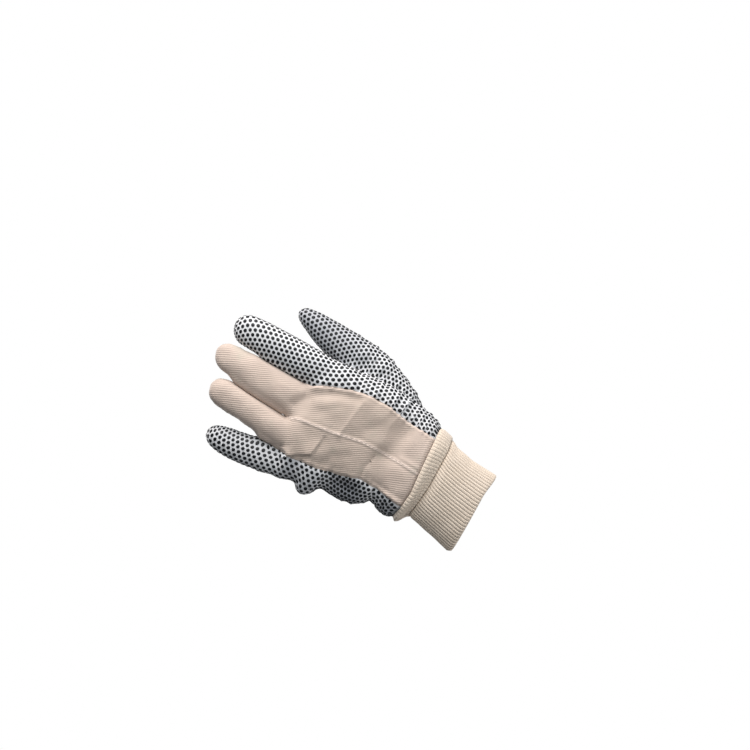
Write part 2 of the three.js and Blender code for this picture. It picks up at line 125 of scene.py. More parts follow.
def edges_of(mesh):
    """Each edge's two vertices, and for each vertex how many edges it has."""
    a, b = fetch(mesh.edges, "vertices", 2, np.int32).T
    count = len(mesh.vertices)
    links = np.bincount(a, minlength=count) + np.bincount(b, minlength=count)
    return a, b, np.maximum(links, 1)[:, None]


def blurred(mesh, values, rounds):
    """Values on a mesh's vertices, evened out along its edges."""
    a, b, links = edges_of(mesh)
    count = len(mesh.vertices)
    wide = values.reshape(count, -1).astype(float).copy()
    for _ in range(rounds):
        total = np.zeros_like(wide)
        for column in range(wide.shape[1]):
            total[:, column] += np.bincount(a, wide[b, column], count)
            total[:, column] += np.bincount(b, wide[a, column], count)
        wide += 0.5 * (total / links - wide)
    return wide.reshape(values.shape)


def mesh_of(bm, name):
    """A new mesh with what is in bm, which is then given up."""
    mesh = bpy.data.meshes.new(name)
    bm.to_mesh(mesh)
    bm.free()
    return mesh


def cut_at_height(bm, z, clear_below=False):
    """Cuts every face that crosses a height, and returns what lies on it."""
    return bmesh.ops.bisect_plane(
        bm,
        geom=bm.verts[:] + bm.edges[:] + bm.faces[:],
        plane_co=(0, 0, z * MM),
        plane_no=(0, 0, 1),
        clear_inner=clear_below,
    )["geom_cut"]


def node_points(*names):
    return np.vstack([positions(nodes[name].data) for name in names])


# Fingers are kept apart while the skin is made, so that neighbours don't grow together.
def gap_line(left, right, low, high):
    """x halfway between two neighbouring fingers, as a height and x low down and high up."""
    ends = []
    for z in (low, high):
        near = [p[np.abs(p[:, 2] - z) < 9] for p in (node_points(*left), node_points(*right))]
        ends.append((z, (near[0][:, 0].max() + near[1][:, 0].min()) / 2))
    return ends


GAP_LINES = [
    gap_line(("little_finger",), ("ring_front",), 192, 226),
    gap_line(("ring_front",), ("middle_front",), 200, 238),
    gap_line(("middle_front",), ("index_finger",), 200, 238),
]


def gap_at(line, z):
    (z0, x0), (z1, x1) = line
    return x0 + (x1 - x0) * (z - z0) / (z1 - z0)


def spread(co, back=False):
    """Moves the fingers apart, or back together."""
    out = co.copy()
    far = FINGER_SPREAD * smoothstep(co[:, 2], SPREAD_FROM, SPREAD_TO)
    lines = [gap_at(line, np.maximum(co[:, 2], 180)) for line in GAP_LINES]
    shifts = np.zeros(len(co))
    for number, line in enumerate(lines):
        middle = line + (far * (number - 1) if back else 0)
        shifts += np.where(co[:, 0] > middle, 0.5, -0.5) * far
    out[:, 0] += -shifts if back else shifts
    return out


def spread_copy(names, closing=0.0):
    """A merged copy of some cloth nodes, spread, and swollen so that their gaps close."""
    bm = bmesh.new()
    for name in names:
        bm.from_mesh(nodes[name].data)
    bmesh.ops.remove_doubles(bm, verts=bm.verts, dist=SAME_PLACE * MM)
    for z in np.arange(SPREAD_FROM, SPREAD_TO + 1, 2):
        cut_at_height(bm, z)
    bm.normal_update()
    co = np.array([v.co[:] for v in bm.verts]) / MM
    co += closing * np.array([v.normal[:] for v in bm.verts])
    for vert, where in zip(bm.verts, spread(co)):
        vert.co = Vector(where) * MM
    return bm


def remeshed(bm, voxel):
    """The same closed form in even quads."""
    obj = new_object("voxels", mesh_of(bm, "voxels"))
    cells = obj.modifiers.new("voxels", "REMESH")
    cells.mode = "VOXEL"
    cells.voxel_size = voxel * MM
    made = baked(obj)
    bpy.data.objects.remove(obj)
    out = bmesh.new()
    out.from_mesh(made)
    bpy.data.meshes.remove(made)
    return out


def islands(bm):
    bm.verts.index_update()
    seen = set()
    found = []
    for start in bm.verts:
        if start.index in seen:
            continue
        seen.add(start.index)
        stack, group = [start], []
        while stack:
            vert = stack.pop()
            group.append(vert)
            for edge in vert.link_edges:
                other = edge.other_vert(vert)
                if other.index not in seen:
                    seen.add(other.index)
                    stack.append(other)
        found.append(group)
    return found


def outer_skin():
    """The outside of the worn hand as one open sheet of even quads, with its fingers spread."""
    names = [name for panel in PANELS.values() for name in panel]
    fine = remeshed(spread_copy(names, CLOSING), FINE_VOXEL)
    cut_at_height(fine, SKIN_FOOT, True)
    groups = islands(fine)
    outer = max(groups, key=lambda group: np.ptp([v.co.x for v in group]))
    wanted = {v.index for v in outer}
    bmesh.ops.delete(fine, geom=[v for v in fine.verts if v.index not in wanted], context="VERTS")
    rim = [e for e in fine.edges if e.is_boundary]
    pulled = bmesh.ops.extrude_edge_only(fine, edges=rim)["geom"]
    low = [v for v in pulled if isinstance(v, bmesh.types.BMVert)]
    bmesh.ops.translate(fine, verts=low, vec=(0, 0, -5 * CLOTH_VOXEL * MM))
    bmesh.ops.holes_fill(fine, edges=[e for e in fine.edges if e.is_boundary])
    bmesh.ops.recalc_face_normals(fine, faces=fine.faces)
    coarse = remeshed(fine, CLOTH_VOXEL)
    cut_at_height(coarse, SKIN_FOOT, True)
    return mesh_of(coarse, "skin")


def tree_of(names):
    bm = spread_copy(names)
    tree = BVHTree.FromBMesh(bm)
    bm.free()
    return tree


def distances(tree, co):
    return np.array([tree.find_nearest(Vector(p) * MM)[3] for p in co]) / MM


def panel_fields(mesh):
    """How far each vertex lies inside a kind of cloth, in millimetres, below 0 outside of it."""
    co = positions(mesh)
    away = {label: distances(tree_of(PANELS[label]), co) for label in LABELS}

    def inside(*labels):
        own = np.min([away[label] for label in labels], axis=0)
        rest = np.min([away[label] for label in LABELS if label not in labels], axis=0)
        return blurred(mesh, rest - own, 5)

    centre = blurred(mesh, away["back_ring"] - away["back_middle"], 5)
    return {
        "drill": inside(*DRILL),
        "centre": centre,
        "fronts": inside(*FRONTS),
        "middle": blurred(mesh, away["ring_front"] - away["middle_front"], 1),
        "thumb": inside("thumb"),
    }


def store(mesh, name, values):
    layer = mesh.attributes.get(name) or mesh.attributes.new(name, "FLOAT", "POINT")
    layer.data.foreach_set("value", values.astype(np.float32))


def read(mesh, name):
    return fetch(mesh.attributes[name].data, "value")


# Settling: the cloth is a little larger than the hand in it, most along the hand, and buckles.
GROWTH_ALONG = 0.30
GROWTH_AROUND = 0.05
BEND_STIFFNESS = 0.10
SETTLE_ROUNDS = 300
PUSH = 1.6
DEEPEST = -1.0
HIGHEST = 2.6
RIPPLE = 0.35
HELD_FROM_FOOT = 2.5
# Looseness along the hand: height in mm, share of the growth
LOOSE_ALONG = [
    (61, 1.0), (70, 1.2), (110, 1.0), (120, 0.7), (130, 0.9), (150, 0.9), (165, 0.5),
    (185, 0.6), (195, 0.8), (215, 0.8), (240, 0.4), (270, 0.2),
]


def looseness(co, fields):
    """Where the cloth is loose: the edge below the little finger and the base of the thumb."""
    x, _, z = co.T
    little_edge = smoothstep(-x, 18, 32) * (1 - smoothstep(z, 145, 175))
    thumb_base = smoothstep(x, 34, 48) * (1 - smoothstep(z, 150, 190))
    loose = 0.35 + 0.65 * np.maximum(little_edge, thumb_base)
    loose = np.where(fields["drill"] > 0, 0.30, loose)
    return loose * np.interp(z, *zip(*LOOSE_ALONG))


def settle(mesh, fields):
    """Moves the vertices until every edge has nearly its cut length, so that the cloth wrinkles."""
    start = positions(mesh)
    outward = normals(mesh)
    count = len(start)
    a, b, links = edges_of(mesh)

    def summed(at_a, at_b):
        """What each vertex gets from its edges."""
        columns = [
            np.bincount(a, at_a[:, c], count) + np.bincount(b, at_b[:, c], count) for c in range(3)
        ]
        return np.stack(columns, axis=1)

    run = start[b] - start[a]
    length = np.linalg.norm(run, axis=1)
    upright = (run[:, 2] / length) ** 2
    gain = looseness(start, fields)
    growth = GROWTH_ALONG * upright + GROWTH_AROUND * (1 - upright)
    cut_length = length * (1 + (gain[a] + gain[b]) / 2 * growth)
    ripple = [noise.noise(Vector((x / 11, y / 11, z / 4.5 + x * 0.03))) for x, y, z in start]
    ripple = RIPPLE * np.array(ripple) / np.std(ripple)
    held = start[:, 2] < SKIN_FOOT + HELD_FROM_FOOT
    curve = summed(start[b], start[a]) / links - start
    co = start + ripple[:, None] * outward
    for _ in range(SETTLE_ROUNDS):
        run = co[b] - co[a]
        length = np.linalg.norm(run, axis=1)
        push = (0.5 * (length - cut_length) / length)[:, None] * run
        co += PUSH * summed(push, -push) / links
        co += BEND_STIFFNESS * (summed(co[b], co[a]) / links - co - curve)
        proud = np.einsum("ij,ij->i", co - start, outward)
        co += (np.clip(proud, DEEPEST, HIGHEST) - proud)[:, None] * outward
        co[held] = start[held]
    return co


def worn_skin():
    """The settled skin in its worn form, with its panel fields."""
    mesh = outer_skin()
    fields = panel_fields(mesh)
    flat = positions(mesh)
    foot = flat[:, 2] < SKIN_FOOT + 0.1
    place(mesh, spread(flat, True))
    even = blurred(mesh, positions(mesh), 10)
    even[foot, 2] = flat[foot, 2]
    place(mesh, even)
    place(mesh, settle(mesh, fields))
    for name, values in fields.items():
        store(mesh, name, values)
    return mesh


# Cutting the skin into its panels
SNAP = 0.28


def cut_at_zero(bm, name, wanted):
    """Cuts the skin along the line on which a field is 0, where wanted allows it."""
    layer = bm.verts.layers.float[name]
    nearest = {}
    for edge in bm.edges:
        a, b = edge.verts
        if a[layer] * b[layer] >= 0 or not (wanted(a) and wanted(b)):
            continue
        share = a[layer] / (a[layer] - b[layer])
        cut = a.co.lerp(b.co, share)
        for vert, far in ((a, share), (b, 1 - share)):
            if far < SNAP and far < nearest.get(vert, (1, None))[0]:
                nearest[vert] = (far, cut)
    for vert, (_, cut) in nearest.items():
        vert.co = cut
        vert[layer] = 0
    line = set(nearest)
    for edge in bm.edges[:]:
        a, b = edge.verts
        if a[layer] * b[layer] < 0 and wanted(a) and wanted(b):
            share = a[layer] / (a[layer] - b[layer])
            _, made = bmesh.utils.edge_split(edge, a, share)
            made[layer] = 0
            line.add(made)
    bmesh.ops.connect_verts(bm, verts=list(line))


# Seams that open the finger tubes before they are laid flat: side of the tube, lowest height
SIDE_SEAMS = {"index_seam": (-1, 176), "little_seam": (1, 168), "thumb_seam": (-1, 110)}
OVER_THE_TIP = 7


def store_side_seams(mesh):
    """Marks where each tube is opened: 0 on the line, and where a cut is wanted at all."""
    co = positions(mesh)
    x, _, z = co.T
    cotton = read(mesh, "drill") < 0
    thumb = read(mesh, "thumb") > 0
    tubes = {
        "index_seam": cotton & ~thumb & (x > 20),
        "little_seam": cotton & ~thumb & (x < -20),
        "thumb_seam": cotton & thumb,
    }
    for name, (side, lowest) in SIDE_SEAMS.items():
        tube = co[tubes[name] & (z > lowest)]
        levels = np.arange(lowest + 3, tube[:, 2].max() - 3, 4)
        near = [tube[np.abs(tube[:, 2] - height) < 3] for height in levels]
        middles = np.array([(rows.min(0) + rows.max(0)) / 2 for rows in near])
        beyond = side * (x - np.interp(z, levels, middles[:, 0]))
        store(mesh, name, co[:, 1] - np.interp(z, levels, middles[:, 1]))
        wanted = tubes[name] & (beyond > -OVER_THE_TIP) & (z > lowest)
        store(mesh, name + "_here", wanted.astype(float))


CRUMB = 150


def absorb_crumbs(bm):
    """Gives small patches that are cut off from their panel to the panel round them."""
    bm.faces.index_update()
    seen = set()
    for start in bm.faces:
        if start.index in seen:
            continue
        seen.add(start.index)
        stack, patch, rim = [start], [], []
        while stack:
            face = stack.pop()
            patch.append(face)
            for edge in face.edges:
                for other in edge.link_faces:
                    if other.material_index != start.material_index:
                        rim.append(other.material_index)
                    elif other.index not in seen:
                        seen.add(other.index)
                        stack.append(other)
        if len(patch) < CRUMB and rim:
            number = max(set(rim), key=rim.count)
            for face in patch:
                face.material_index = number


def cut_panels(mesh):
    """Cuts the skin along its seams and gives each face the number of its panel."""
    bm = bmesh.new()
    bm.from_mesh(mesh)
    layer = bm.verts.layers.float
    drill, thumb = layer["drill"], layer["thumb"]

    def on_thumb(vert):
        return vert[drill] <= 0 and vert.co.x > 30 * MM

    def on_tube(name):
        here = layer[name + "_here"]
        return lambda vert: vert[here] > 0.01 and vert[drill] <= 0

    cut_at_zero(bm, "drill", lambda v: True)
    cut_at_zero(bm, "centre", lambda v: v[drill] >= 0)
    cut_at_zero(bm, "fronts", lambda v: v[drill] <= 0)
    cut_at_zero(bm, "thumb", on_thumb)
    for name in SIDE_SEAMS:
        cut_at_zero(bm, name, on_tube(name))

    def mean(face, name):
        return sum(v[layer[name]] for v in face.verts) / len(face.verts)

    for face in bm.faces:
        face.smooth = True
        if mean(face, "drill") > 0:
            label = "back_middle" if mean(face, "centre") > 0 else "back_ring"
        elif mean(face, "fronts") > 0:
            label = "middle_front" if mean(face, "middle") > 0 else "ring_front"
        elif mean(face, "thumb") > 0 and face.calc_center_median().x > 30 * MM:
            label = "thumb"
        else:
            label = "palm"
        face.material_index = LABELS.index(label)
    absorb_crumbs(bm)
    for edge in bm.edges:
        faces = edge.link_faces
        opened = any(
            sum(face_mean > 0 for face_mean in (mean(f, name) for f in faces)) == 1
            and all(on_tube(name)(v) and abs(v[layer[name]]) < 1e-4 for v in edge.verts)
            for name in SIDE_SEAMS
        )
        edge.seam = opened or len({face.material_index for face in faces}) > 1
    bm.to_mesh(mesh)
    bm.free()


def loops_of(mesh):
    """Each face corner's vertex and panel number."""
    corner = fetch(mesh.loops, "vertex_index", 1, np.int32)
    sizes = fetch(mesh.polygons, "loop_total", 1, np.int32)
    label = fetch(mesh.polygons, "material_index", 1, np.int32)
    return corner, np.repeat(label, sizes)


def flat_places(mesh):
    """Each face corner's place on the flat pattern."""
    return fetch(mesh.uv_layers["cloth"].uv, "vector", 2)


def lay(mesh, uv):
    mesh.uv_layers["cloth"].uv.foreach_set("vector", uv.astype(np.float32).ravel())


def corners_of_triangles(mesh):
    mesh.calc_loop_triangles()
    return np.array([t.loops[:] for t in mesh.loop_triangles])


def lay_flat(mesh):
    """Unwraps every panel in millimetres, with +V towards the fingertips."""
    obj = new_object("flat", mesh)
    mesh.uv_layers.new(name="cloth")
    bpy.context.view_layer.objects.active = obj
    obj.select_set(True)
    bpy.ops.object.mode_set(mode="EDIT")
    bpy.ops.mesh.select_all(action="SELECT")
    bpy.ops.uv.unwrap(method="MINIMUM_STRETCH", margin=0.01, iterations=12)
    bpy.ops.object.mode_set(mode="OBJECT")
    uv = flat_places(mesh)
    corner, label = loops_of(mesh)
    co = positions(mesh)
    triangles = corners_of_triangles(mesh)
    a, b, c = (co[corner[triangles[:, i]]] for i in range(3))
    area = np.linalg.norm(np.cross(b - a, c - a), axis=1) / 2
    p, q, r = (uv[triangles[:, i]] for i in range(3))
    flat_area = np.abs(np.cross(q - p, r - p)) / 2
    triangle_label = label[triangles[:, 0]]
    for number in range(len(LABELS)):
        own = label == number
        here = triangle_label == number
        scale = math.sqrt(area[here].sum() / flat_area[here].sum())
        part = uv[own] * scale
        part -= part.mean(0)
        height = co[corner[own], 2]
        slope = np.linalg.lstsq(part, height - height.mean(), rcond=None)[0]
        slope /= np.linalg.norm(slope)
        turn = np.array([[slope[1], -slope[0]], [slope[0], slope[1]]])
        uv[own] = part @ turn.T
    lay(mesh, uv)
    bpy.data.objects.remove(obj)


def finer(mesh):
    """The skin, once subdivided."""
    obj = new_object("finer", mesh)
    more = obj.modifiers.new("more", "SUBSURF")
    more.levels = more.render_levels = 1
    made = baked(obj)
    bpy.data.objects.remove(obj)
    return made


# Where the band's top edge meets the hand on the back: x, height
BAND_TOP = [(-40, 62), (-27, 59), (-10, 57.5), (0, 58.5), (20, 60), (40, 61), (53, 62)]


def joint_rise(co):
    """How much higher the joint of band and hand lies than at 60 mm, on the back of the hand."""
    rise = np.interp(co[:, 0], *zip(*BAND_TOP)) - 60
    return rise * smoothstep(-co[:, 1], -6, 8)


# Folds that end in a step: points (x, z), rise on their left, drop on their right, width of the step
BACK_STEPS = [
    ([(-35, 168), (-32, 165), (-23, 150), (-12, 149)], 1.5, 1.0, 0.7),
    ([(62, 172), (57, 165), (50, 158)], 0.8, 0.8, 0.9),
]
PALM_STEPS = [
    ([(8, 125), (28, 128), (46, 132)], 1.5, 1.3, 1.2),
    ([(24, 70), (31, 76), (37, 86)], 1.2, 1.2, 1.0),
    ([(12, 124), (-2, 127), (-20, 121)], 1.1, 1.0, 1.2),
]
STEP_REACH = 8.0
# Sharp crests, or creases where the height is below 0: points (x, z), height, reach
BACK_CRESTS = [
    ([(4, 137.5), (20, 135), (40, 132)], 2.5, 4.5),
    ([(6, 99), (-10, 104.5), (-21, 103)], -3.0, 4.5),
    ([(-18.5, 60), (-18.5, 76), (-17.5, 90)], -0.9, 2.5),
    ([(-31, 179), (-26, 172)], -0.7, 2.0),
    ([(-31, 130), (-30, 114), (-26, 98)], -1.1, 1.8),
    ([(-36, 126), (-37, 112), (-34, 100)], -0.9, 1.8),
    ([(-30, 82), (-32, 66)], -0.9, 1.8),
    ([(-50, 149), (-52, 138)], -0.8, 1.8),
    ([(60, 161), (64, 152), (70, 146)], -1.3, 2.2),
    ([(70, 153), (77, 139)], -1.2, 1.8),
    ([(85, 142), (78, 140)], -1.0, 1.5),
    ([(58, 150), (66, 140), (70, 128)], -1.0, 2.0),
]
PALM_CRESTS = [
    ([(-36, 150), (-18, 156), (-2, 150)], -1.3, 4.0),
    ([(42, 150), (24, 160), (4, 158)], -1.2, 3.5),
]
# Soft valleys, or ridges where the depth is below 0: points (x, z), depth, width
BACK_VALLEYS = [
    ([(8, 186), (24, 176), (34, 158), (40, 138)], 2.2, 5.0),
    ([(8, 92), (24, 89), (42, 84)], 1.2, 6.0),
    ([(-22.5, 60), (-22, 90)], -0.5, 1.8),
    ([(12, 62), (12, 80)], -0.7, 2.2),
    ([(-8, 122), (-15, 134), (-26, 140)], 1.1, 5.0),
    ([(14, 162), (27, 148)], 0.7, 4.0),
    ([(20, 118), (34, 106), (42, 104)], 0.6, 4.0),
    ([(-6, 168), (-14, 160)], 0.8, 5.0),
    ([(12, 98), (40, 98)], 2.4, 24.0),
]
PALM_VALLEYS = [
    ([(8, 70), (10, 110), (9, 150)], 1.4, 3.5),
    ([(-22, 176), (-8, 150), (2, 146)], 1.0, 3.0),
    ([(-30, 96), (-12, 90), (4, 96)], 1.3, 4.0),
]
FOLDS = {
    "back": (BACK_STEPS, BACK_CRESTS, BACK_VALLEYS),
    "palm": (PALM_STEPS, PALM_CRESTS, PALM_VALLEYS),
}


def beside(points, x, z):
    """Distance to a line of points, above 0 on its fingertip side, in millimetres."""
    best = np.full(len(x), 1e9)
    for (x0, z0), (x1, z1) in zip(points, points[1:]):
        run = math.hypot(x1 - x0, z1 - z0)
        ux, uz = (x1 - x0) / run, (z1 - z0) / run
        along = np.clip((x - x0) * ux + (z - z0) * uz, 0, run)
        away = np.hypot(x - x0 - ux * along, z - z0 - uz * along)
        above = np.where((z - z0) * ux - (x - x0) * uz > 0, 1, -1)
        best = np.where(away < np.abs(best), away * above, best)
    return best


def bell(value, width):
    return np.exp(-((value / width) ** 2))


# Heights between which two neighbouring fingers touch
TOUCHING = [(170, 176, 196, 208), (184, 187, 240, 252), (184, 187, 228, 244)]
TOUCH = 0.06
TOUCH_TILT = 0.2
TOUCH_REACH = 6.0


def close_gaps(co):
    """Swells and flattens the facing sides of neighbouring fingers until they nearly touch."""
    for line, (start, full, last, end) in zip(GAP_LINES, TOUCHING):
        z = co[:, 2].copy()
        here = smoothstep(z, start, full) * (1 - smoothstep(z, last, end))
        middle = np.interp(z, [180, 250], [3, 8])
        tilted = gap_at(line, np.maximum(z, 176)) + TOUCH_TILT * here * (co[:, 1] - middle)
        aside = co[:, 0] - gap_at(line, np.maximum(z, 176))
        for side in (-1, 1):
            own = (side * aside > 0) & (side * aside < 14)
            away = side * (co[:, 0] - tilted)
            levels = np.arange(full + 1, end, 1.0)
            near = [away[own & (np.abs(z - level) < 0.9)] for level in levels]
            inner = np.array([rows.min() if len(rows) else TOUCH for rows in near])
            inner[1:-1] = np.minimum(inner[1:-1], (inner[:-2] + inner[1:-1] + inner[2:]) / 3)
            slack = np.interp(z, levels, inner) - TOUCH
            share = np.clip((away - TOUCH - slack) / TOUCH_REACH, 0, 1)
            closer = slack * (1 - smoothstep(share, 0, 1))
            closer += TOUCH_REACH * share * (1 - share) ** 2
            co[:, 0] -= side * np.where(own, closer * here, 0)


# Where the cloth below the little finger falls away from the back: lowest and highest z, depth
EDGE_HOLLOWS = [(86, 134, 9.0), (56, 82, 5.0), (150, 172, 2.0)]
# Painted shade: how much darker the cotton is made along that edge and towards the tip of the thumb,
# where it faces away from the lights
EDGE_SHADE = 0.4
TIP_SHADE = 0.8

# Seams and their puckers, in mm
SEAM_VALLEY = 0.9
THUMB_VALLEY = 0.7
FRONT_VALLEY = 0.6
SEAM_WIDTH = 1.5
RIM_HEIGHT = 0.35
CENTRE_RIDGE = 0.55
PUCKER = 0.4
SWELL = 0.45
# How far the skin's foot is tucked in and down behind the band
TUCK_IN = 2.6
TUCK_DOWN = 2.5


def sculpt(mesh):
    """Seam valleys, the raised centre seam, puckers along the seams and the larger folds."""
    co = positions(mesh)
    outward = normals(mesh)
    x, y, z = co.T
    drill, centre, thumb, fronts = (read(mesh, n) for n in ("drill", "centre", "thumb", "fronts"))
    low = 1 - smoothstep(z, 176, 186)
    lift = -SEAM_VALLEY * bell(drill, SEAM_WIDTH) * (0.55 + 0.45 * low)
    lift += RIM_HEIGHT * bell(drill - 2.6, 1.3) * low
    on_back = (drill > 2) * low
    ridge = CENTRE_RIDGE * bell(centre, 1.2)
    lift += ridge * on_back - 0.2 * bell(np.abs(centre) - 2.6, 1.1) * on_back
    cotton = drill < 0
    lift -= THUMB_VALLEY * bell(thumb, 1.5) * cotton * (x > 30)
    lift -= FRONT_VALLEY * bell(fronts, 1.4) * cotton * (y > 0)
    seam = np.minimum(np.abs(drill), np.where(cotton & (x > 30), np.abs(thumb), 99))
    puckers = np.array([noise.noise(Vector((a / 9, b / 9, c / 3.2))) for a, b, c in co])
    strength = 0.35 + 0.65 * low
    swell = np.array([noise.noise(Vector((a / 17, b / 17 + 7, c / 22))) for a, b, c in co])
    lift += SWELL * swell / np.std(swell) * smoothstep(z, 62, 75) * (drill > 0)
    lift += PUCKER * puckers / np.std(puckers) * np.exp(-seam / 5) * strength
    facings = {
        "back": smoothstep(-outward[:, 1], 0.0, 0.4),
        "palm": smoothstep(outward[:, 1], 0.0, 0.4) * (thumb < 0),
    }
    for side, facing in facings.items():
        steps, crests, valleys = FOLDS[side]
        for points, rise, drop, width in steps:
            left = beside(points, x, z)
            share = 0.5 + 0.5 * np.tanh(left / width)
            lift += facing * share * rise * np.exp(-np.maximum(left, 0) / STEP_REACH)
            lift -= facing * (1 - share) * drop * np.exp(np.minimum(left, 0) / STEP_REACH)
        for points, height, reach in crests:
            away = np.sqrt(beside(points, x, z) ** 2 + 0.4)
            lift += facing * height * np.exp(-away / reach)
        for points, depth, width in valleys:
            lift -= facing * depth * bell(beside(points, x, z), width)
    tuck = 1 - smoothstep(z, SKIN_FOOT, SKIN_FOOT + TUCK_IN)
    out = co + (lift * (1 - tuck))[:, None] * outward
    out -= TUCK_IN * tuck[:, None] * outward * [1, 1, 0]
    close_gaps(out)
    little_side = smoothstep(-x, 22, 38) * (1 - smoothstep(y, 0, 12))
    # Painted shade along the little finger's edge, deeper in its hollows, stored for the cotton's
    # colour
    painted_shade = EDGE_SHADE * little_side * (1 - 0.5 * smoothstep(z, 160, 190))
    for lowest, highest, depth in EDGE_HOLLOWS:
        share = np.clip((z - lowest) / (highest - lowest), 0, 1)
        shape = np.sin(math.pi * share) ** 2 * smoothstep(-x, 22, 35) * (1 - smoothstep(y, -6, 14))
        out[:, 1] += depth * shape
        painted_shade += depth / EDGE_HOLLOWS[0][2] * shape
    out[:, 2] += joint_rise(co) * (1 - smoothstep(z, 62, 84)) - TUCK_DOWN * tuck
    place(mesh, out)
    store(mesh, "foot", z - SKIN_FOOT)
    # Painted shade towards the thumb's tip
    painted_shade += TIP_SHADE * (thumb > 0) * (x > 30) * smoothstep(z, 110, 200)
    store(mesh, "painted_shade", np.clip(painted_shade, 0, 1))


def panel_piece(mesh, label, name, finish):
    """One panel of the skin as its own cloth, with a wall."""
    bm = bmesh.new()
    bm.from_mesh(mesh)
    number = LABELS.index(label)
    bmesh.ops.delete(bm, geom=[f for f in bm.faces if f.material_index != number], context="FACES")
    for face in bm.faces:
        face.material_index = 0
    own = mesh_of(bm, name)
    own.materials.clear()
    own.materials.append(finish)
    piece = new_object(name, own)
    wall = piece.modifiers.new("wall", "SOLIDIFY")
    wall.thickness = WALL * MM
    wall.offset = -1
    return piece


# Grip dots
DOT_PITCH = 4.5
DOT_RADIUS = 1.62
DOT_HEIGHT = 0.42
DOT_SIDES = 10
DOT_FOOT = 0.15
# A dot's two steps up: mm inwards, share of the height
DOT_STEPS = ((0.12, 0.72), (0.42, 0.28))
# The turn of the rows of dots, and how far past its panel's edge a dot's middle may lie, in radii
DOT_TURN = math.radians(22)
DOT_OVERHANG = 0.45


def dot_mesh():
    """One low dome with its foot just under the cloth."""
    bm = bmesh.new()
    bmesh.ops.create_circle(bm, cap_ends=True, segments=DOT_SIDES, radius=DOT_RADIUS)
    bm.faces.ensure_lookup_table()
    face = bm.faces[0]
    height = 0
    for inset, share in DOT_STEPS:
        height += share * DOT_HEIGHT
        bmesh.ops.inset_region(bm, faces=[face], thickness=inset, use_boundary=True)
        for vert in face.verts:
            vert.co.z = height
    for vert in bm.verts:
        if vert.co.z == 0:
            vert.co.z = -DOT_FOOT
    for f in bm.faces:
        f.smooth = True
    bmesh.ops.recalc_face_normals(bm, faces=bm.faces)
    return mesh_of(bm, "dot")


class Cloth:
    """A panel that can be read at a place on its flat pattern."""

    def __init__(self, mesh, label):
        corner, labels = loops_of(mesh)
        triangles = corners_of_triangles(mesh)
        triangles = triangles[labels[triangles[:, 0]] == LABELS.index(label)]
        self.uv = flat_places(mesh)[triangles]
        self.co = positions(mesh)[corner[triangles]]
        self.normal = normals(mesh)[corner[triangles]]
        points = [Vector((u, v, 0)) for u, v in self.uv.reshape(-1, 2)]
        faces = [(i, i + 1, i + 2) for i in range(0, len(points), 3)]
        self.tree = BVHTree.FromPolygons(points, faces)

    def holds(self, u, v, margin):
        return self.tree.find_nearest(Vector((u, v, 0)), margin)[0] is not None

    def at(self, u, v):
        """Place and outward direction at (u, v), or at the nearest place on the pattern."""
        near, _, number, _ = self.tree.find_nearest(Vector((u, v, 0)))
        a, b, c = self.uv[number]
        (bu, bv), (cu, cv) = b - a, c - a
        pu, pv = near[0] - a[0], near[1] - a[1]
        area = bu * cv - bv * cu
        to_b = (pu * cv - pv * cu) / area
        to_c = (bu * pv - bv * pu) / area
        weights = np.array([1 - to_b - to_c, to_b, to_c])
        outward = weights @ self.normal[number]
        return weights @ self.co[number], outward / np.linalg.norm(outward)


# How far the dots shift along the hand where the cloth is gathered: height, shift in mm
GATHER = [(60, 5), (140, -7), (195, 0)]


def gathered(cloth, u, v):
    """The flat place of a dot, drawn together beside the little finger's edge."""
    x, _, z = cloth.at(u, v)[0]
    return u, v + float(smoothstep(-x, 20, 36)) * np.interp(z, *zip(*GATHER))


def copies(mesh, count, name):
    """A mesh of count copies, made by doubling."""
    bm = bmesh.new()
    block = mesh.copy()
    while count:
        if count & 1:
            bm.from_mesh(block)
        count >>= 1
        twice = bmesh.new()
        twice.from_mesh(block)
        twice.from_mesh(block)
        twice.to_mesh(block)
        twice.free()
    bpy.data.meshes.remove(block)
    return mesh_of(bm, name)


def grip_dots(mesh, label, name, finish):
    """Rows of dots on a hexagonal lattice, cut off where the panel ends."""
    cloth = Cloth(mesh, label)
    dot = dot_mesh()
    shape = positions(dot) * MM
    low = cloth.uv.reshape(-1, 2).min(0) - DOT_PITCH
    high = cloth.uv.reshape(-1, 2).max(0) + DOT_PITCH
    reach = np.hypot(*(high - low)) / 2
    middle = (low + high) / 2
    step = int(reach / DOT_PITCH * 1.3) + 2
    turns = (DOT_TURN, DOT_TURN + math.pi / 3)
    first, second = (np.array([math.sin(turn), math.cos(turn)]) for turn in turns)
    places = []
    for i in range(-step, step + 1):
        for j in range(-step, step + 1):
            u, v = middle + DOT_PITCH * (i * first + j * second)
            u, v = gathered(cloth, u, v)
            if not cloth.holds(u, v, DOT_OVERHANG * DOT_RADIUS):
                continue
            for du, dv, rise in shape:
                where, outward = cloth.at(u + du, v + dv)
                places.append(where + rise * outward)
    own = copies(dot, len(places) // len(shape), name)
    place(own, np.array(places))
    own.materials.append(finish)
    bpy.data.meshes.remove(dot)
    return new_object(name, own)


# Knitted cuff
RIBS = 66
STEPS_A_RIB = 8
RIB_DEPTH = 0.8
# How far the edge dips below the thumb and the band swells at its end, and the knit's unevenness
EDGE_DIP = 3.0
BAND_BULGE = 2.0
WANDER = 0.35
# The crease below the band, on the back: x, height
CREASE = [(-36, 51), (-20, 48.5), (0, 46.5), (40, 46.5), (50, 48)]
KNIT_WALL = 2.8
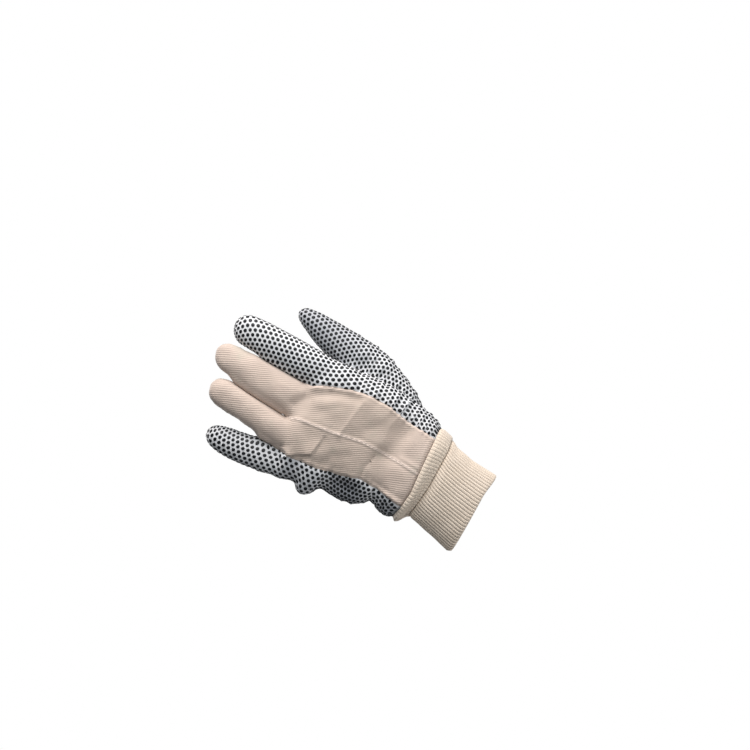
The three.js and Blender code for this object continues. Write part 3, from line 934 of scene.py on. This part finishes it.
# The knit's section: height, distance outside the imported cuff, share of the ribs that shows
CREASE_ROWS = [
    (44.2, -0.2, 1), (45.2, -0.7, 1), (46.0, -1.5, 0.9), (46.6, -2.3, 0.7), (47.0, -2.7, 0.5),
    (46.9, -1.8, 0.6), (46.7, -0.9, 0.6), (46.9, 0.0, 0.6), (47.5, 0.6, 0.6), (48.3, 0.8, 0.55),
    (49.3, 0.7, 0.5), (50.3, 0.4, 0.5),
]
TOP_ROWS = [
    (58.6, -0.1, 0.5), (59.4, -0.5, 0.5), (59.9, -1.1, 0.4), (60.0, -1.8, 0.3), (59.4, -2.5, 0.2),
    (58.2, -2.8, 0),
]
EDGE_ROWS = [
    (1.0, -2.7, 0), (0.35, -2.3, 0.2), (0.0, -1.6, 0.5), (0.0, -1.0, 0.8), (0.3, -0.45, 1),
    (0.9, -0.1, 1),
]


def knit_section():
    outer = [(z, 0.0, 1) for z in np.arange(1.9, 43.6, 1.1)]
    band = [(z, 0.1, 0.5) for z in np.arange(51.3, 58.2, 1.0)]
    inner = [(z, -KNIT_WALL, 0) for z in np.arange(56, 2, -3.0)]
    return EDGE_ROWS + outer + CREASE_ROWS + band + TOP_ROWS + inner


def cuff_outline():
    """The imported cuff's sides without their ribs: heights, and rings of points at even steps."""
    bm = bmesh.new()
    bm.from_mesh(nodes["knit_cuff"].data)
    bmesh.ops.remove_doubles(bm, verts=bm.verts, dist=SAME_PLACE * MM)
    tree = BVHTree.FromBMesh(bm)
    heights = np.arange(1.0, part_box("knit_cuff")[1][2] / MM - 0.6, 1.5)
    turns = np.linspace(0, FULL_TURN, RIBS * 6, endpoint=False)
    count = RIBS * STEPS_A_RIB
    rings = []
    for z in heights:
        cut = cut_at_height(bm, z)
        level = np.array([v.co[:] for v in cut if isinstance(v, bmesh.types.BMVert)]) / MM
        middle = (level.min(0) + level.max(0)) / 2
        reach = []
        for turn in turns:
            way = Vector((math.cos(turn), math.sin(turn), 0))
            start = Vector((middle[0], middle[1], z)) * MM + way * 0.2
            hit = tree.ray_cast(start, -way)[0]
            reach.append(math.hypot(hit.x / MM - middle[0], hit.y / MM - middle[1]))
        reach = np.array(reach)
        for _ in range(10):
            reach = (np.roll(reach, 1) + reach + np.roll(reach, -1)) / 3
        ring = np.stack([middle[0] + reach * np.cos(turns), middle[1] + reach * np.sin(turns)], 1)
        closed = np.vstack([ring, ring[:1]])
        arc = np.concatenate([[0], np.cumsum(np.linalg.norm(np.diff(closed, axis=0), axis=1))])
        even = np.linspace(0, arc[-1], count, endpoint=False)
        rings.append(np.stack([np.interp(even, arc, closed[:, i]) for i in range(2)], 1))
    bm.free()
    return heights, np.array(rings)


def knit_cuff(finish):
    """Ribbed tube with a rolled band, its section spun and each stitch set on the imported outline."""
    count = RIBS * STEPS_A_RIB
    section = knit_section()
    bm = bmesh.new()
    row_layer = bm.verts.layers.int.new("row")
    ring = []
    for number, (z, out, _) in enumerate(section):
        vert = bm.verts.new(((30 + out) * MM, 0, z * MM))
        vert[row_layer] = number
        ring.append(vert)
    edges = [bm.edges.new((a, b)) for a, b in zip(ring, ring[1:] + ring[:1])]
    bmesh.ops.spin(
        bm,
        geom=ring + edges,
        cent=(0, 0, 0),
        axis=(0, 0, 1),
        angle=FULL_TURN,
        steps=count,
        use_merge=True,
    )
    bmesh.ops.recalc_face_normals(bm, faces=bm.faces)
    for face in bm.faces:
        face.smooth = True
    mesh = mesh_of(bm, "cuff_knit")

    co = positions(mesh)
    rows = fetch(mesh.attributes["row"].data, "value", 1, np.int32)
    turn = np.arctan2(co[:, 1], co[:, 0]) / FULL_TURN
    column = np.round(turn * count).astype(int) % count
    z, out, ribbed = np.array(section)[rows].T
    heights, rings = cuff_outline()
    way = np.roll(rings, -1, axis=1) - np.roll(rings, 1, axis=1)
    outward = np.stack([way[..., 1], -way[..., 0]], axis=2)
    outward /= np.linalg.norm(outward, axis=2, keepdims=True)
    level = np.clip((z - heights[0]) / (heights[1] - heights[0]), 0, len(heights) - 1.001)
    index = level.astype(int)
    share = (level - index)[:, None]
    spot = rings[index, column] * (1 - share) + rings[index + 1, column] * share
    away = outward[index, column] * (1 - share) + outward[index + 1, column] * share
    back = smoothstep(-spot[:, 1], -4, 8)
    left = smoothstep(-spot[:, 0], -45, 35)
    grooved = (z > 44) & (z < 51) & (out < 0)
    out = np.where(grooved, out * (0.35 + 0.65 * back * (0.6 + 0.4 * left)), out)
    phase = column / STEPS_A_RIB % 1 - 0.5
    rib = (1 - np.abs(2 * phase) ** 2.2) ** 0.8
    uneven = [noise.noise(Vector((x / 14, y / 14, h / 12))) for (x, y), h in zip(spot, z)]
    out += ribbed * RIB_DEPTH * (rib - 0.55) + WANDER * np.array(uneven)
    end = smoothstep(-spot[:, 0], 26, 38) * (out > -1)
    out += end * (BAND_BULGE * bell(z - 53.5, 3.5) - 1.2 * smoothstep(z, 56, 60))
    x, y = (spot + out[:, None] * away).T
    crease = np.interp(x, *zip(*CREASE)) - 47
    rise = back * crease * smoothstep(z, 38, 46) * (1 - smoothstep(z, 48, 56))
    rise += joint_rise(np.stack([x, y, z], 1)) * smoothstep(z, 48, 58)
    rise -= EDGE_DIP * smoothstep(x, 16, 40) * (1 - smoothstep(z, 0, 14))
    place(mesh, np.stack([x, y, z + rise], 1))

    steps = [math.hypot(b[0] - a[0], b[1] - a[1]) for a, b in zip(section, section[1:])]
    along = np.concatenate([[0], np.cumsum(steps)])[rows]
    corner, _ = loops_of(mesh)
    rib_number = column[corner].reshape(-1, 4) / STEPS_A_RIB
    rib_number += RIBS * (rib_number < rib_number.max(1, keepdims=True) - RIBS / 2)
    mesh.uv_layers.new(name="cloth")
    lay(mesh, np.stack([rib_number.ravel(), along[corner]], 1))
    mesh.materials.append(finish)
    return new_object("cuff_knit", mesh)


# Finishes
class Level:
    """A number in a finish; Python's operators on it add Math nodes."""

    def __init__(self, finish, socket):
        self.finish = finish
        self.socket = socket

    def math(self, operation, *others):
        made = self.finish.add("ShaderNodeMath", {"operation": operation}, [self, *others])
        return Level(self.finish, made.outputs[0])

    def __add__(self, other):
        return self.math("ADD", other)

    __radd__ = __add__

    def __sub__(self, other):
        return self.math("SUBTRACT", other)

    def __rsub__(self, other):
        return self * -1 + other

    def __mul__(self, other):
        return self.math("MULTIPLY", other)

    __rmul__ = __mul__

    def __abs__(self):
        return self.math("ABSOLUTE")

    def sine(self):
        return self.math("SINE")

    def fraction(self):
        return self.math("FRACT")

    def most(self, other):
        return self.math("MAXIMUM", other)

    def ramp(self, low, high):
        """0 below low, 1 above high and soft between them."""
        node = self.finish.add(
            "ShaderNodeMapRange",
            {"interpolation_type": "SMOOTHSTEP"},
            {"Value": self, "From Min": low, "From Max": high},
        )
        return Level(self.finish, node.outputs[0])


class Finish:
    """One material: a Principled shader and the nodes that feed it."""

    def __init__(self, name, **constants):
        self.material = bpy.data.materials.new(name)
        self.material.use_nodes = True
        self.nodes = self.material.node_tree.nodes
        self.shader = self.nodes["Principled BSDF"]
        for key, value in constants.items():
            self.shader.inputs[key.replace("_", " ").title()].default_value = value

    def add(self, kind, settings=None, inputs=None):
        node = self.nodes.new(kind)
        for key, value in (settings or {}).items():
            setattr(node, key, value)
        pairs = inputs.items() if isinstance(inputs, dict) else enumerate(inputs or [])
        for key, value in pairs:
            self.feed(node.inputs[key], value)
        return node

    def feed(self, socket, value):
        value = getattr(value, "socket", value)
        if isinstance(value, bpy.types.NodeSocket):
            self.material.node_tree.links.new(value, socket)
        else:
            socket.default_value = value

    def place_of(self):
        return self.add("ShaderNodeTexCoord").outputs["Object"]

    def flat(self):
        """The flat pattern's two coordinates."""
        uv = self.add("ShaderNodeUVMap", {"uv_map": "cloth"}).outputs[0]
        parts = self.add("ShaderNodeSeparateXYZ", {}, [uv])
        return Level(self, parts.outputs[0]), Level(self, parts.outputs[1])

    def cloud(self, size, detail=3, roughness=0.5):
        """Soft random values from 0 to 1, with patches about size metres wide."""
        inputs = {
            "Vector": self.place_of(),
            "Scale": 1 / size,
            "Detail": detail,
            "Roughness": roughness,
        }
        return Level(self, self.add("ShaderNodeTexNoise", {}, inputs).outputs[0])

    def height(self):
        """Metres above the cuff's edge."""
        parts = self.add("ShaderNodeSeparateXYZ", {}, [self.place_of()])
        return Level(self, parts.outputs[2])

    def kept(self, name):
        """A value that is stored on the mesh."""
        return Level(self, self.add("ShaderNodeAttribute", {"attribute_name": name}).outputs["Fac"])

    def painted_joint_shade(self):
        """1 in the groove between the hand and the band, where shade is painted into the cloth's
        colour.
        """
        return 1 - self.kept("foot").ramp(0.4, 2.4)

    def blend(self, share, one, two):
        node = self.add("ShaderNodeMix", {"data_type": "RGBA"})
        self.feed(node.inputs["Factor"], share)
        colours = [socket for socket in node.inputs if socket.type == "RGBA"]
        for socket, colour in zip(colours, (one, two)):
            self.feed(socket, colour)
        return next(socket for socket in node.outputs if socket.type == "RGBA")

    def finish(self, colour, height, distance, roughness=None):
        """Feeds the shader a colour and a bump of some height in metres."""
        self.feed(self.shader.inputs["Base Color"], colour)
        if roughness is not None:
            self.feed(self.shader.inputs["Roughness"], roughness)
        bump = self.add("ShaderNodeBump", {}, {"Height": height, "Distance": distance})
        self.feed(self.shader.inputs["Normal"], bump.outputs[0])
        return self.material


# Threads and twill lines, in mm, and the way across the twill on the flat pattern
WEAVE_PITCH = 0.62
TWILL_PITCH = 1.87
TWILL_U = 0.875
TWILL_V = 0.485
DRILL_THREAD = 0.7
STITCH_PITCH = 2.4
LOOP_PITCH = 1.5


def white_cotton():
    """Cool white plain weave, with painted shade along the little finger's edge, towards the thumb's
    tip and in the joint with the band.
    """
    f = Finish("white_cotton", roughness=0.9, sheen_weight=0.25, sheen_roughness=0.5)
    u, v = f.flat()
    slub = f.cloud(0.004, 2)
    warp = (u * (FULL_TURN / WEAVE_PITCH) + slub * 2).sine()
    weft = (v * (FULL_TURN / WEAVE_PITCH) + slub * 2).sine()
    weave = warp * weft * 0.5 + 0.5
    soil = f.cloud(0.035, 4, 0.6)
    colour = f.blend(weave * 0.5 + soil * 0.5, (0.83, 0.85, 0.88, 1), (0.93, 0.94, 0.96, 1))
    # Painted shade along the little finger's edge and towards the thumb's tip
    colour = f.blend(f.kept("painted_shade") * 0.6, colour, (0.26, 0.28, 0.33, 1))
    # Painted shade in the groove between the hand and the band
    colour = f.blend(f.painted_joint_shade() * 0.6, colour, (0.2, 0.2, 0.21, 1))
    return f.finish(colour, weave + slub * 0.6, 0.0002)


def beige_drill():
    """Beige twill with slanting lines, a painted highlight on the seams' raised edges and painted
    shade in the joint with the band.
    """
    f = Finish("beige_drill", roughness=0.88, sheen_weight=0.3, sheen_roughness=0.45)
    u, v = f.flat()
    slub = f.cloud(0.005, 2)
    slant = u * (FULL_TURN / TWILL_PITCH * TWILL_U) + v * (FULL_TURN / TWILL_PITCH * TWILL_V)
    lines = (slant + slub * 1.2).sine() * 0.5 + 0.5
    threads = (v * (FULL_TURN / DRILL_THREAD)).sine() * 0.5 + 0.5
    patches = f.cloud(0.03, 4, 0.6)
    green = f.cloud(0.02, 3, 0.6).ramp(0.55, 0.72)
    colour = f.blend(lines * 0.28 + patches * 0.72, (0.53, 0.427, 0.362, 1), (0.72, 0.596, 0.515, 1))
    colour = f.blend(green * 0.3, colour, (0.50, 0.50, 0.40, 1))
    height = f.height()
    # Darker across the back between 75 and 192 mm up
    middle_band = height.ramp(0.075, 0.105) * (1 - height.ramp(0.162, 0.192))
    colour = f.blend(middle_band * 0.36, colour, (0.40, 0.335, 0.275, 1))
    centre = abs(f.kept("centre"))
    edge = f.kept("drill")
    # Painted highlight: lighter colour on the centre seam's ridge and on the raised rim beside the
    # drill's edge
    seam = 1 - centre.ramp(0.5, 1.4)
    rim = edge.ramp(0.2, 0.8) * (1 - edge.ramp(1.2, 2.4))
    colour = f.blend(seam.most(rim * 0.7) * 0.6, colour, (0.86, 0.72, 0.64, 1))
    stitches = (v * (FULL_TURN / STITCH_PITCH)).sine().ramp(0.35, 0.8)
    stitches = stitches * (1 - abs(centre - 1.5).ramp(0.2, 0.6))
    colour = f.blend(stitches * 0.08, colour, (0.36, 0.29, 0.24, 1))
    # Painted shade in the groove between the hand and the band
    colour = f.blend(f.painted_joint_shade() * 0.55, colour, (0.25, 0.2, 0.17, 1))
    return f.finish(colour, lines + threads * 0.35 - stitches * 0.3, 0.0002)


def rib_knit():
    """Knitted ribs with V-shaped stitches and painted shade in the grooves."""
    f = Finish("rib_knit", roughness=0.92, sheen_weight=0.3, sheen_roughness=0.5)
    rib, along = f.flat()
    across = abs(rib.fraction() - 0.5)
    loops = ((along + across * 1.6) * (FULL_TURN / LOOP_PITCH)).sine() * 0.5 + 0.5
    groove = across.ramp(0.34, 0.5)
    patches = f.cloud(0.02, 4, 0.6)
    crest = f.blend(patches, (0.69, 0.58, 0.46, 1), (0.88, 0.765, 0.645, 1))
    # Painted shade: the grooves between the ribs darkened in colour
    colour = f.blend(groove * 0.75, crest, (0.30, 0.24, 0.195, 1))
    colour = f.blend((1 - loops) * 0.08, colour, (0.36, 0.30, 0.26, 1))
    return f.finish(colour, loops + f.cloud(0.001, 2) * 0.5, 0.00018)


def black_dots():
    """Glossy black grip dots."""
    f = Finish("black_dots", roughness=0.45)
    f.shader.inputs["Specular IOR Level"].default_value = 0.3
    grain = f.cloud(0.0009, 2)
    worn = f.cloud(0.02, 3)
    colour = f.blend(worn.ramp(0.45, 0.8), (0.004, 0.005, 0.007, 1), (0.010, 0.012, 0.015, 1))
    return f.finish(colour, grain, 0.00005, worn * 0.2 + 0.38)


# The glove
skin = worn_skin()
store_side_seams(skin)
cut_panels(skin)
lay_flat(skin)
skin = finer(skin)
sculpt(skin)
cotton, drill_cloth, knit, grip = white_cotton(), beige_drill(), rib_knit(), black_dots()

CLOTH_PIECES = [
    ("palm", "palm_cloth", cotton, "dotted_cotton"),
    ("middle_front", "middle_front_cloth", cotton, "dotted_cotton"),
    ("ring_front", "ring_front_cloth", cotton, "dotted_cotton"),
    ("thumb", "thumb_cloth", cotton, "dotted_cotton"),
    ("back_middle", "back_middle_cloth", drill_cloth, "cotton_drill"),
    ("back_ring", "back_ring_cloth", drill_cloth, "cotton_drill"),
]
for label, name, finish, slot in CLOTH_PIECES:
    cloth = panel_piece(skin, label, name, finish)
    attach(cloth, "root")
    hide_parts(*PANELS[label])
    if slot == "dotted_cotton":
        dots = grip_dots(skin, label, name.replace("cloth", "dots"), grip)
        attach(dots, "root")

cuff = knit_cuff(knit)
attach(cuff, "root")
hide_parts("knit_cuff")


# Camera: from the back of the hand, rolled as in the photograph
CAMERA_DISTANCE = 1.8
CAMERA_LENS = 97
AIM = (0.0657, 0, 0.1353)
CAMERA_RIGHT = Vector((0.4839, 0, -0.8751))
CAMERA_UP = Vector((0.8751, 0, 0.4839))


def turned(right, up, at):
    """A placement whose X runs to the right, Y up and Z back."""
    back = right.cross(up)
    made = Matrix((right, up, back)).transposed().to_4x4()
    made.translation = at
    return made


camera_data = bpy.data.cameras.new("camera")
camera_data.lens = CAMERA_LENS
camera_data.clip_start = 0.05
camera = new_object("camera", camera_data)
camera.matrix_world = turned(CAMERA_RIGHT, CAMERA_UP, Vector(AIM) + Vector((0, -CAMERA_DISTANCE, 0)))
bpy.context.scene.camera = camera


def soft_light(name, way, distance, size, power, colour):
    """A square area light on the line from the glove towards way."""
    lamp = bpy.data.lights.new(name, "AREA")
    lamp.size = size
    lamp.energy = power
    lamp.color = colour
    obj = new_object(name, lamp)
    direction = Vector(way).normalized()
    obj.rotation_euler = direction.to_track_quat("Z", "Y").to_euler()
    obj.location = Vector(AIM) + direction * distance


key_way = Vector((0, -0.27, 0)) + 0.93 * CAMERA_UP - 0.2 * CAMERA_RIGHT
soft_light("key", key_way, 1.3, 0.75, 22, (1, 0.95, 0.925))
soft_light("front_fill", (0.5, -0.85, 0.25), 1.7, 0.9, 14, (0.97, 0.99, 1))
soft_light("palm_light", (-0.4, 1, 0.7), 1.4, 0.8, 13, (1, 1, 1))

world = bpy.data.worlds.new("studio")
bpy.context.scene.world = world
world.use_nodes = True
sky = world.node_tree
sky.nodes.clear()
seen = sky.nodes.new("ShaderNodeBackground")
seen.inputs["Color"].default_value = (1, 1, 1, 1)
seen.inputs["Strength"].default_value = 1.0
around = sky.nodes.new("ShaderNodeBackground")
around.inputs["Color"].default_value = (0.92, 0.96, 1, 1)
around.inputs["Strength"].default_value = 0.15
path = sky.nodes.new("ShaderNodeLightPath")
either = sky.nodes.new("ShaderNodeMixShader")
shown = sky.nodes.new("ShaderNodeOutputWorld")
sky.links.new(path.outputs["Is Camera Ray"], either.inputs[0])
sky.links.new(around.outputs[0], either.inputs[1])
sky.links.new(seen.outputs[0], either.inputs[2])
sky.links.new(either.outputs[0], shown.inputs[0])
bpy.context.scene.view_settings.view_transform = "Standard"

floor_bm = bmesh.new()
bmesh.ops.create_grid(floor_bm, x_segments=1, y_segments=1, size=0.55)
bmesh.ops.translate(floor_bm, verts=floor_bm.verts, vec=(0, -0.1, -0.45))
floor = new_object("floor", mesh_of(floor_bm, "floor"))
floor_finish = Finish("floor", roughness=0.8)
floor_finish.finish(
    floor_finish.blend(floor_finish.cloud(0.3), (0.80, 0.80, 0.80, 1), (0.84, 0.84, 0.84, 1)),
    floor_finish.cloud(0.002),
    0.0001,
)
floor.data.materials.append(floor_finish.material)
